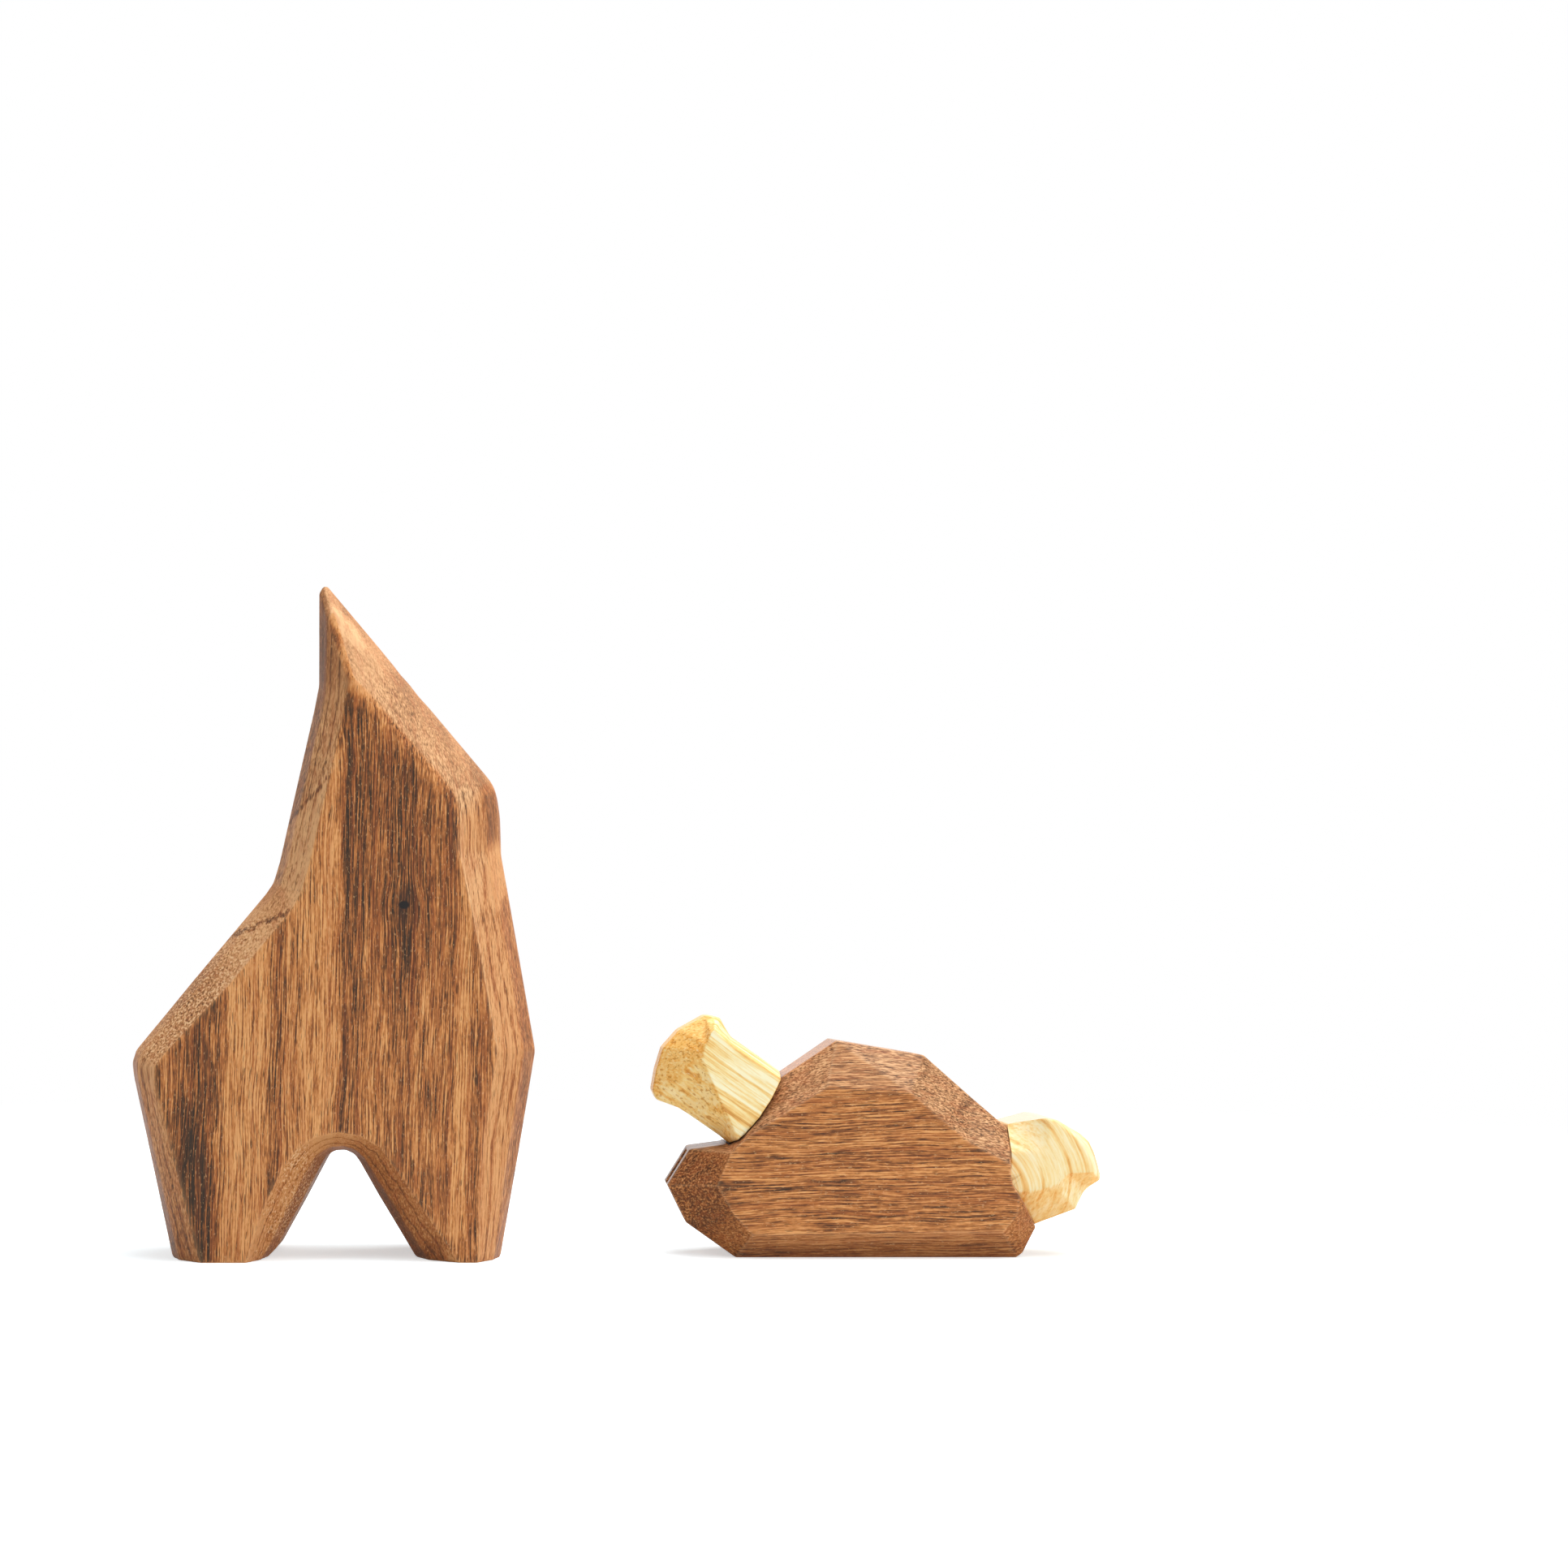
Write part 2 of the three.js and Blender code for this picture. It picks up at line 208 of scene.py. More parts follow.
def seenWhite(sheet):  # 1 for rays that look at the backdrop, 0 for the light it gives off
    rays = sheet.node("ShaderNodeLightPath")
    straight = rays["Is Camera Ray"] + rays["Is Glossy Ray"] + rays["Is Transmission Ray"]
    return sheet.node("ShaderNodeClamp", None, [straight])["Result"]


def makeSurround(look):
    scene.world = bpy.data.worlds.new("whiteRoom")
    scene.world.use_nodes = True
    sheet = Sheet(scene.world.node_tree)
    plain = (1, 1, 1, 1)
    soft, white = (
        sheet.node("ShaderNodeBackground", None, {"Color": plain, "Strength": level})["Background"]
        for level in (look["ambient"], 1.0))
    shown = sheet.node("ShaderNodeMixShader", None, [seenWhite(sheet), soft, white])["Shader"]
    sheet.node("ShaderNodeOutputWorld", None, {"Surface": shown})

    reach = look["floorReach"] * mm
    corners = [(-reach, -reach, 0), (reach, -reach, 0), (reach, reach, 0), (-reach, reach, 0)]
    mesh = bpy.data.meshes.new("floor")
    mesh.from_pydata(corners, [], [(0, 1, 2, 3)])
    floor = bpy.data.objects.new("floor", mesh)
    scene.collection.objects.link(floor)
    mesh.materials.append(floorFinish(look))


def floorFinish(look):
    material, sheet = newFinish("paleFloor")
    place = sheet.node("ShaderNodeTexCoord")["Object"]
    far = sheet.node("ShaderNodeVectorMath", {"operation": "LENGTH"}, [place])["Value"]
    clear = sheet.step(far, look["clearFrom"] * mm, look["clearTo"] * mm)
    paper = sheet.node("ShaderNodeBsdfDiffuse", None, {"Color": tint(*look["floorColour"])})["BSDF"]
    glow = sheet.node("ShaderNodeEmission", None, {"Strength": look["floorGlow"]})["Emission"]
    white = sheet.node("ShaderNodeEmission", None, {"Strength": 1.0})["Emission"]
    lit = sheet.node("ShaderNodeAddShader", None, [paper, glow])["Shader"]
    near = sheet.node("ShaderNodeMixShader", None, [clear, lit, white])["Shader"]
    shown = sheet.node("ShaderNodeMixShader", None, [seenWhite(sheet), paper, near])["Shader"]
    sheet.node("ShaderNodeOutputMaterial", None, {"Surface": shown})
    return material


makeCamera(cameraView)
makeLamps(studio)
makeSurround(surround)
print("camera, lamps and surround ready")


def surfaceOf(nodes):
    points, faces = [], []
    for mesh in (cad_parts[node].data for node in nodes):
        faces += [[len(points) + corner for corner in face.vertices] for face in mesh.polygons]
        points += [v.co.copy() for v in mesh.vertices]
    return BVHTree.FromPolygons(points, faces)


def distances(points, shape):
    return np.array([shape.find_nearest(Vector(p))[3] or 0.0 for p in points])


def evaluated(holder):
    bpy.context.view_layer.update()
    done = holder.evaluated_get(bpy.context.evaluated_depsgraph_get())
    return bpy.data.meshes.new_from_object(done)


def fromLine(points, start, end):  # distance of flat points from a line between two places
    start, way = np.array(start, float), np.array(end, float) - np.array(start, float)
    share = np.clip((points - start) @ way / max(way @ way, 1e-9), 0.0, 1.0)
    return np.linalg.norm(points - start - share[:, None] * way, axis=1)


def easeAt(points, look):  # how far sanding rounds each point, more inside the zones
    give = np.full(len(points), look["ease"])
    for start, end, radius, ease in look.get("zones", []):
        apart = fromLine(points[:, ::2] / mm, start, end)
        give += (ease - give) * np.clip(2 - 2 * apart / radius, 0.0, 1.0)
    return give


# carves the faces back so that they run out level with the facet they meet
def flushed(points, look):
    x, y, z = points.T / mm
    facet = look["half"] - np.clip(z - look["from"], 0.0, None) * look["slope"]
    share = np.clip((x - look["seam"]) / look["reach"], look["least"], 1.0)
    half = facet + (look["half"] - facet) * share
    return np.stack([x, np.clip(y, -half, half), z], axis=1) * mm


def readPoints(mesh):
    points = np.empty(len(mesh.vertices) * 3)
    mesh.vertices.foreach_get("co", points)
    return points.reshape(-1, 3)


def addLevels(mesh, name, levels):
    mesh.attributes.new(name, "FLOAT", "POINT").data.foreach_set("value", np.clip(levels, 0.0, 1.0))


# seamKeep: millimetres beside a seam that stay sharp; least: easing left at the floor
sanding = {"seamKeep": 0.4, "least": 0.02, "most": 2.0, "pull": 0.5, "facetWeight": 60}


# a sanded copy of a carved block: fine mesh, edges eased by hand sanding, crisp where pieces meet
def sanded(node, look, neighbours):
    holder = bpy.data.objects.new(node + "_wood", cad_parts[node].data.copy())
    scene.collection.objects.link(holder)
    remesh = holder.modifiers.new("fine", "REMESH")
    remesh.mode, remesh.voxel_size = "VOXEL", look["voxel"] * mm
    fine = evaluated(holder)
    holder.modifiers.clear()
    points = readPoints(fine)
    ends = np.empty(len(fine.edges) * 2, dtype=int)
    fine.edges.foreach_get("vertices", ends)
    ends = ends.reshape(-1, 2)
    if "flush" in look:
        points = flushed(points, look["flush"])
    give = easeAt(points, look)
    seam = distances(points, surfaceOf(neighbours)) / mm
    fromSeam = np.clip((seam - sanding["seamKeep"]) / look["seamFade"], 0.0, 1.0)
    fromFloor = np.clip(points[:, 2] / mm / look["floorFade"], sanding["least"], 1.0)
    give = np.minimum(give, sanding["most"] * np.minimum(fromSeam, fromFloor))
    count = np.bincount(ends.ravel(), minlength=len(points))[:, None]
    for _ in range(look["passes"]):
        total = np.zeros_like(points)
        for here, there in ((0, 1), (1, 0)):
            for axis in range(3):
                total[:, axis] += np.bincount(ends[:, here], points[ends[:, there], axis], len(points))
        points = points + sanding["pull"] * give[:, None] * (total / count - points)
    fine.vertices.foreach_set("co", points.ravel())
    fine.update()
    holder.data = fine
    thin = holder.modifiers.new("thin", "DECIMATE")
    thin.ratio = look["keep"]
    holder.data = done = evaluated(holder)
    holder.modifiers.clear()
    corners = readPoints(done)
    # paler worn edges, which also stand for a painted highlight along the edges
    wornAndHighlit = distances(corners, surfaceOf([node])) / mm / look["wearDepth"]
    soft = easeAt(corners, look)
    rubbedAndHighlit = np.clip(soft / look["ease"], 0.0, 1.0) * np.clip(1 - soft, 0.0, 1.0)
    addLevels(done, "wear", np.clip(wornAndHighlit, 0.0, 1.0) * rubbedAndHighlit)  # none on crisp or very round edges
    # painted shadow: darker next to the pieces in gapTo, where the gap between them lies in shade
    if "gapTo" in look:
        near, far = look["gapSpan"]
        apart = distances(corners, surfaceOf(look["gapTo"])) / mm
        addLevels(done, "gap", (far - apart) / (far - near))
    done.shade_smooth()
    flat = holder.modifiers.new("flat", "WEIGHTED_NORMAL")  # large facets stay flat
    flat.mode, flat.weight = "FACE_AREA", sanding["facetWeight"]
    holder.data = evaluated(holder)
    holder.modifiers.clear()
    holder.data.name = node + "_wood"
    holder.data.materials.clear()
    print(f"{node}: {len(points)} points sanded, {len(done.polygons)} faces kept")
    return holder


def settle(piece, node, body, material):
    piece.data.materials.append(material)
    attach(piece, body)
    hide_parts(node)


def along(parts, direction):
    terms = [part * share for part, share in zip(parts, direction) if share]
    return sum(terms[1:], terms[0])


def millimetres(sheet, place):
    return [part * 1000.0 for part in sheet.split(place)]


def shaded(sheet, dark, shades):  # colour by darkness, through stops of screen colours
    return sheet.ramp(dark, [(at, tint(*shade)) for at, shade in shades])


# the fibre parts round a knot, and a darker smear runs along it; depth: the front skin that it shows in
knotLook = {"partReach": (4, 7), "part": 0.25, "depth": (-17.0, -12.0), "core": (22, 17, 16),
            "smear": (58, 38, 28), "smearReach": (1.6, 5), "smearShare": 0.6}


def timesReach(reach, times):
    return [size * share for size, share in zip(reach, times)]


class Grain:  # millimetres along the fibre, across the growth rings and into the block
    def __init__(self, sheet, look):
        self.sheet = sheet
        place = sheet.node("ShaderNodeTexCoord")
        self.xyz = millimetres(sheet, place["Object"])
        self.run, across, self.depth = (along(self.xyz, look[key]) for key in ("fibre", "face", "depth"))
        self.ring = across
        if "pith" in look:
            gapX, gapZ = (self.xyz[axis] - at for axis, at in zip((0, 2), look["pith"]))
            self.ring = (gapX * gapX + gapZ * gapZ) ** 0.5
        slow = self.streaks(look["swayRun"], 0.03, 1.0) - 0.5
        quick = self.streaks(look["swayRun"] * 4, 0.12, 1.0, shift=31) - 0.5
        tilt = (self.depth - look["front"]) * look["ringTilt"]
        self.ring = self.ring + tilt + slow * look["sway"] + quick * look["ripple"]
        for centre, reach in look.get("knots", []):
            parted = self.spot(centre, timesReach(reach, knotLook["partReach"])) * knotLook["part"]
            self.ring = self.ring - (self.xyz[0] - centre[0]) * parted
        self.facing = sheet.split(place["Normal"])
        self.endGrain = sheet.step(abs(along(self.facing, look["fibre"])), *look["endSpan"])
        self.wear, self.gap = (sheet.node("ShaderNodeAttribute", {"attribute_name": key})["Fac"]
                               for key in ("wear", "gap"))

    def streaks(self, perRun, perAcross, detail=2.0, rough=0.5, shift=0.0):
        vector = self.sheet.join(self.run * perRun + shift, self.ring * perAcross, self.depth * perAcross)
        return self.sheet.noise(vector, detail, rough)

    def spot(self, centre, reach, core=0.0, turn=0.0):  # soft patch seen from the front
        gapX, gapZ = self.xyz[0] - centre[0], self.xyz[2] - centre[1]
        if turn:
            lean, rise = math.cos(math.radians(turn)), math.sin(math.radians(turn))
            gapX, gapZ = gapX * lean + gapZ * rise, gapZ * lean - gapX * rise
        gapX, gapZ = gapX / reach[0], gapZ / reach[1]
        return 1 - self.sheet.step(gapX * gapX + gapZ * gapZ, core, 1.0)

    def towards(self, direction, low, high):  # 1 on the facets that look that way
        return self.sheet.step(along(self.facing, direction), low, high)


# an oiled surface shines where light grazes it; bumpDepth in millimetres
oil = {"bumpDepth": 0.1, "leastWax": 0.02, "grazing": (0.7, 0.92), "specular": 0.25}


def finishWood(material, sheet, look, colour, roughness, height):
    bump = sheet.node("ShaderNodeBump", None, {
        "Strength": look["bump"], "Distance": oil["bumpDepth"] * mm, "Height": height})["Normal"]
    edgeOn = sheet.node("ShaderNodeLayerWeight", None, {"Blend": 0.5})["Facing"]
    wax = oil["leastWax"] + sheet.step(edgeOn, *oil["grazing"]) * look["wax"]
    shader = sheet.node("ShaderNodeBsdfPrincipled", None, {
        "Base Color": colour, "Roughness": roughness, "Normal": bump,
        "Specular IOR Level": oil["specular"], "Coat Weight": wax, "Coat Roughness": look["waxRough"]})
    sheet.node("ShaderNodeOutputMaterial", None, {"Surface": shader["BSDF"]})
    return material


# streaks: changes per millimetre along and across the fibre, detail, roughness and shift
walnutGrain = {
    "broad": (0.008, 0.35, 2.0, 0.5, 7), "middle": (0.035, 1.1, 2.0, 0.5, 13),
    "thin": (0.095, 3.1, 2.0, 0.62, 19), "pepper": (0.7, 3.0, 1.0, 0.5, 23),
    "coarse": (1.8, 2.1, 1.0, 0.5, 61), "red": (0.02, 0.9, 1.0, 0.5, 43),
    "pores": (0.26, 3.3, 1.0, 0.5, 57), "flecks": (1.1, 3.2, 1.0, 0.5, 71),
    "redSpan": (0.45, 0.7), "poreSpan": (0.62, 0.7), "fleckSpan": (0.64, 0.72), "paleSpan": (0.06, 0.3),
}


def walnut(name, look):
    material, sheet = newFinish(name)
    grain = Grain(sheet, look)
    cut = 1 - sheet.step(abs(grain.facing[1]), *look["flatSpan"])  # 1 on carved facets, 0 on flat faces
    broad, middle, thin, pepper, coarse = (
        grain.streaks(*walnutGrain[key]) - 0.5 for key in ("broad", "middle", "thin", "pepper", "coarse"))
    side = (1 - grain.endGrain * look["endCalm"]) * (1 - cut * look["cutFade"])
    for centre, reach, turn, amount in look["calm"]:  # plainer wood
        side = side * (1 - grain.spot(centre, reach, 0.3, turn) * amount)
    band = sheet.curve(grain.ring, look["bands"]) * look["bandShare"]
    inward = sheet.curve(abs(grain.depth) + broad * 2, look["inward"]) - 0.5  # rings laid open by facets
    sloped = 1 - sheet.step(grain.facing[2], 0.2, 0.4) * 0.75  # slanted cuts show fewer rings
    dark = look["lift"] + band * (1 - cut * look["cutCalm"]) + cut * inward * sloped * look["inwardShare"]
    streaky = broad * (1 - cut * 0.5) * look["broad"] + middle * look["middle"] + thin * look["thin"]
    dark = dark + streaky * side + pepper * (look["pepper"] + grain.endGrain * look["endPepper"])
    # painted light and shade: facets made darker or lighter by the way they face
    for direction, span, centre, reach, amount in look["facingLightAndShade"]:
        dark = dark + grain.towards(direction, *span) * grain.spot(centre, reach, 0.5) * amount
    for centre, reach, turn, amount in look["heart"]:  # darker heartwood, on the flat faces
        dark = dark + grain.spot(centre, reach, 0.2, turn) * (1 - cut * 0.8) * amount
    for centre, reach, turn, amount in look["clouds"]:
        dark = dark + grain.spot(centre, reach, 0.2, turn) * amount
    opened = [grain.spot(centre, reach) * amount for centre, reach, amount in look["openEnds"]]
    chamfer = 0.5 + sheet.step(abs(grain.facing[1]), 0.15, 0.45) * 0.5
    speckle = sum(opened[1:], opened[0]) * grain.endGrain * coarse * chamfer  # end grain with open pores
    dark = dark + speckle
    for at, slope, centre, reach, above, line in look["ringEdges"]:  # a ring on the left-hand facets
        rise = grain.xyz[2] - at[1] - (grain.xyz[0] - at[0]) * slope + middle * 3
        left = grain.towards((-1, 0, 0), 0.2, 0.45) * grain.spot(centre, reach, 0.5)
        edge = 1 - sheet.step(abs(rise), 0.2, 0.9)
        dark = dark + left * (sheet.step(rise, -0.4, 0.8) * above + edge * line)
    paintedSheen = cut * sheet.step(grain.facing[2], *look["sheenSpan"])  # painted sheen: facets turned up get paler, greyer shades, standing in for the white room reflected on them
    # less of the painted sheen on facets that look these ways
    for direction, share in look["lessSheen"]:
        paintedSheen = paintedSheen * (1 - grain.towards(direction, 0.35, 0.55) * share)
    colour = sheet.mix(paintedSheen, shaded(sheet, dark, look["shades"]), shaded(sheet, dark, look["sheenShades"]))
    # painted light: carved facets outside the painted sheen, mostly those turned down, are painted warmer
    colour = sheet.mix((cut - paintedSheen) * look["warmShare"], colour, tint(*look["warm"]))
    red = sheet.step(grain.streaks(*walnutGrain["red"]), *walnutGrain["redSpan"])
    colour = sheet.mix(red * look["redShare"], colour, tint(*look["red"]))
    pores = sheet.step(grain.streaks(*walnutGrain["pores"]), *walnutGrain["poreSpan"])
    pores = pores * (1 - cut * 0.5) * (1 - grain.endGrain * 0.8)
    colour = sheet.mix(pores * look["poreShare"], colour, tint(*look["pore"]))
    flecks = sheet.step(grain.streaks(*walnutGrain["flecks"]), *walnutGrain["fleckSpan"])
    colour = sheet.mix(flecks * look["fleckShare"], colour, tint(*look["fleck"]))
    paleFlecks = sheet.step(0 - speckle, *walnutGrain["paleSpan"])
    colour = sheet.mix(paleFlecks * look["paleShare"], colour, tint(*look["pale"]))
    for centre, reach in look["knots"]:
        front = 1 - sheet.step(grain.depth, *knotLook["depth"])
        smear = grain.spot(centre, timesReach(reach, knotLook["smearReach"]), 0.1) * front
        colour = sheet.mix(smear * knotLook["smearShare"], colour, tint(*knotLook["smear"]))
        colour = sheet.mix(grain.spot(centre, reach, 0.35) * front, colour, tint(*knotLook["core"]))
    # worn edges paler, partly a painted highlight along the edges
    colour = sheet.mix(grain.wear * look["wearAndHighlightShare"], colour, tint(*look["wornAndHighlit"]))
    # painted shadow in the gap beside the neighbouring piece
    if "gapTo" in look:
        colour = sheet.mix(grain.gap * look["gapShadowShare"], colour, tint(*look["gapShade"]))
    roughness = 0.54 + middle * 0.3 + pores * 0.2 + grain.endGrain * 0.2 - grain.wear * 0.08
    return finishWood(material, sheet, look, colour, roughness, thin * 0.6 - pores * 0.6 + middle * 0.3)


ashGrain = {  # in the same order
    "wander": (0.02, 0.2, 1.0, 0.5, 3), "fade": (0.06, 0.3, 1.0, 0.5, 5),
    "broad": (0.035, 0.5, 2.0, 0.5, 9), "middle": (0.06, 1.2, 2.0, 0.5, 11),
    "thin": (0.12, 2.6, 2.0, 0.5, 23), "pepper": (0.8, 1.7, 2.0, 0.5, 53),
    "pores": (0.3, 3.2, 1.0, 0.5, 37),
    "fadeSpan": (0.35, 0.6), "poreSpan": (0.62, 0.74), "dotSpan": (0.06, 0.16), "paleSpan": (0.1, 0.2),
}


def ash(name, look):
    material, sheet = newFinish(name)
    grain = Grain(sheet, look)
    wander = (grain.streaks(*ashGrain["wander"]) - 0.5) * look["ringWander"]
    share = (grain.ring / look["ringStep"] + wander).fraction()
    wide = look["ringWide"]
    early = sheet.step(share, 0.0, wide) * (1 - sheet.step(share, wide, wide * 2))  # porous early wood
    fade = sheet.step(grain.streaks(*ashGrain["fade"]), *ashGrain["fadeSpan"])
    broad, middle, thin, pepper = (
        grain.streaks(*ashGrain[key]) - 0.5 for key in ("broad", "middle", "thin", "pepper"))
    side = 1 - grain.endGrain * 0.7
    dark = look["lift"] + early * fade * look["ringShare"] * side + thin * look["thin"] + pepper * 0.3
    dark = dark + (broad * look["broad"] + middle * look["middle"]) * side
    # painted light and shade: facets made darker or lighter by the way they face
    for direction, span, centre, reach, amount in look["facingLightAndShade"]:
        dark = dark + grain.towards(direction, *span) * grain.spot(centre, reach, 0.5) * amount
    colour = shaded(sheet, dark, look["shades"])
    pores = sheet.step(grain.streaks(*ashGrain["pores"]), *ashGrain["poreSpan"]) * (0.15 + early * 0.85)
    colour = sheet.mix(pores * 0.45, colour, tint(*look["pore"]))
    golden = grain.towards(look["goldSide"], *look["goldSpan"]) * look["goldShare"]
    turned = (1 - sheet.step(abs(grain.facing[1]), 0.5, 0.85)) * look["turnShare"]  # away from the front
    turned = turned * (1 - grain.towards(look["paleSide"], 0.3, 0.6) * 0.6)
    ends = grain.endGrain.most(golden.most(turned))
    ends = ends * (1 - grain.towards((0, 0, 1), 0.4, 0.8) * 0.35)  # less on faces turned up
    colour = sheet.mix(ends * look["endShare"], colour, tint(*look["end"]), "MULTIPLY")
    dots = sheet.step(pepper, *ashGrain["dotSpan"]) * ends
    colour = sheet.mix(dots * look["dotShare"], colour, tint(*look["pore"]))
    pale = sheet.step(0 - pepper, *ashGrain["paleSpan"]) * ends
    colour = sheet.mix(pale * look["dotShare"] * 0.6, colour, tint(*look["wornAndHighlit"]))
    # painted reflection: faces turned up made paler and pinker, standing in for a grazing sheen
    if "top" in look:
        above = grain.towards((0, 0, 1), 0.8, 0.95)
        colour = sheet.mix(above * look["topSheenShare"], colour, tint(*look["top"]))
    # worn edges paler, partly a painted highlight along the edges
    colour = sheet.mix(grain.wear * look["wearAndHighlightShare"], colour, tint(*look["wornAndHighlit"]))
    # painted shadow in the gap beside the neighbouring piece
    if "gapTo" in look:
        colour = sheet.mix(grain.gap * look["gapShadowShare"], colour, tint(*look["gapShade"]))
    roughness = 0.55 + middle * 0.25 + pores * 0.15 + grain.endGrain * 0.15 - grain.wear * 0.06
    return finishWood(material, sheet, look, colour, roughness, thin * 0.5 - pores * 0.6)


bodyPiece = {
    "voxel": 0.42, "passes": 40, "keep": 0.3, "seamFade": 2.0, "floorFade": 3.0, "wearDepth": 0.18,
    "ease": 0.06,
    "zones": [  # from, to, width and easing
        ((-55, 120), (-41, 104), 16, 1.8),  # slant
        ((-98, 56), (-80, 78), 10, 0.2),  # shoulder
        ((-102, 38), (-93, 4), 10, 0.22),  # rump
        ((-69.4, 149.6), (-61.5, 131), 7, 0.0),  # ridge at the tip
    ],
    "fibre": (0, 0, 1), "face": (1, 0, 0), "depth": (0, 1, 0), "front": -19, "endSpan": (0.15, 0.55),
    "flatSpan": (0.82, 0.95), "sway": 2.0, "swayRun": 0.011, "ripple": 1.8, "ringTilt": 0.3,
    "bandShare": 0.68, "lift": 0.08, "cutCalm": 0.6, "endCalm": 0.6, "cutFade": 0.15,
    "bands": [  # place across the face and darkness
        (-116, 0.5), (-102.3, 0.45), (-98.9, 0.7), (-95.5, 1.0), (-91.8, 1.0), (-88.6, 0.6), (-86, 0.13),
        (-80.5, 0.08), (-78.5, 0.45), (-76.3, 0.75), (-74.2, 0.3), (-67.6, 0.2), (-64.3, 0.4), (-62.8, 1.0),
        (-61, 0.55), (-56.3, 0.42), (-49, 0.75), (-46.7, 0.42), (-42, 0.48), (-39, 0.66), (-38.2, 0.24),
        (-36, 0.22), (-34.8, 0.66), (-31.2, 0.72), (-29.6, 0.45), (-28, 0.18), (-24, 0.15), (-21.5, 0.5),
        (-14, 0.55),
    ],
    "inward": [  # distance from the middle plane and darkness
        (7, 0.6), (11, 0.75), (13.6, 0.68), (14.2, 0.4), (14.9, 0.32), (15.2, 0.72), (15.6, 0.36),
        (16.8, 0.3), (17.1, 0.68), (17.5, 0.28), (20, 0.24),
    ],
    "inwardShare": 1.0,
    "facingLightAndShade": [  # painted light and shade by facing: direction, its span, centre, reach and darkness
        ((0.76, 0, 0.65), (0.4, 0.55), (-48, 122), (40, 50), 0.1),  # slanted facet under the head
        ((1, 0, 0), (0.4, 0.55), (-26, 55), (22, 75), 0.1),  # chest
        ((-1, 0, 0), (0.35, 0.5), (-71, 127), (12, 34), 0.05),  # upper nape
        ((-1, 0, 0), (0.15, 0.35), (-67, 141), (9, 17), 0.2),  # nape at the tip
        ((-1, 0, 0), (0.35, 0.5), (-100, 14), (18, 34), 0.2),  # rump
        ((-0.79, 0, 0.62), (0.45, 0.6), (-94, 58), (26, 26), -0.02),  # shoulder
        ((-0.85, 0, -0.53), (0.4, 0.55), (-52, 12), (16, 20), 0.32),  # arch, fore leg
        ((0.85, 0, -0.53), (0.4, 0.55), (-77, 12), (14, 22), 0.04),  # arch, hind leg
    ],
    "heart": [  # centre, reach, turn and darkness
        ((-50, 98), (17, 50), 0, 0.22), ((-60.5, 130.5), (9, 8), -51, -0.5), ((-94, 16), (6, 26), 10, 0.22),
        ((-49.5, 115), (17, 5), -51, -0.28),
    ],
    "clouds": [
        # the second patch is painted shade where the fore leg meets the floor
        ((-64.7, 139.7), (8, 2.4), -51, -0.35), ((-40.5, 1.5), (5, 5), 0, 0.25),
        ((-27, 98), (8, 22), 0, -0.15), ((-30.2, 85), (2.8, 10), 0, -0.45),
        ((-30.8, 98), (3.2, 9), 0, 0.15), ((-34.6, 90), (1.8, 18), 4, -0.25),
    ],
    "calm": [((-66, 135), (11, 20), 0, 0.8)],
    # painted sheen on facets turned up, paler and greyer shades, less on the listed ways; warm: the facets
    # outside it painted warmer
    "sheenSpan": (-0.35, -0.05), "lessSheen": [((-1, 0, 0), 0.35), ((-0.6, 0, -0.8), 0.5), ((0.9, 0, -0.6), 0.7)],
    "warm": (150, 84, 36), "warmShare": 0.3,
    "sheenShades": [(0.0, (224, 174, 126)), (0.27, (194, 142, 96)), (0.52, (150, 104, 68)),
                  (0.78, (100, 70, 46)), (1.0, (54, 41, 30))],
    "openEnds": [((-92, 56), (32, 30), 2.3), ((-77, 14), (14, 18), 3.5)],
    "pale": (244, 212, 168), "paleShare": 0.45,
    "ringEdges": [  # a point of the ring, slope, centre, reach, darkness above it and of its line
        ((-70.5, 102), 1.0, (-73, 116), (14, 30), 0.2, 0.5),  # nape
        ((-82, 73), 0.37, (-82, 73), (11, 9), 0.0, 0.5),  # shoulder
    ],
    "shades": [(0.0, (228, 164, 104)), (0.27, (200, 128, 70)), (0.52, (158, 93, 49)),
               (0.78, (98, 61, 35)), (1.0, (50, 36, 25))],
    "red": (172, 86, 44), "redShare": 0.25, "pore": (50, 33, 22), "poreShare": 0.7,
    "fleck": (230, 178, 126), "fleckShare": 0.35, "pepper": 0.75, "endPepper": -0.05,
    "broad": 0.5, "middle": 0.45, "thin": 2.6,
    "wornAndHighlit": (226, 168, 114), "wearAndHighlightShare": 0.35, "bump": 0.35, "wax": 0.05, "waxRough": 0.2,
    "knots": [((-50.0, 77.8), (1.4, 1.1))],
}
bodyWood = sanded("body", bodyPiece, ["neck_magnet"])
settle(bodyWood, "body", "giraffe body", walnut("oiledWalnutBody", bodyPiece))

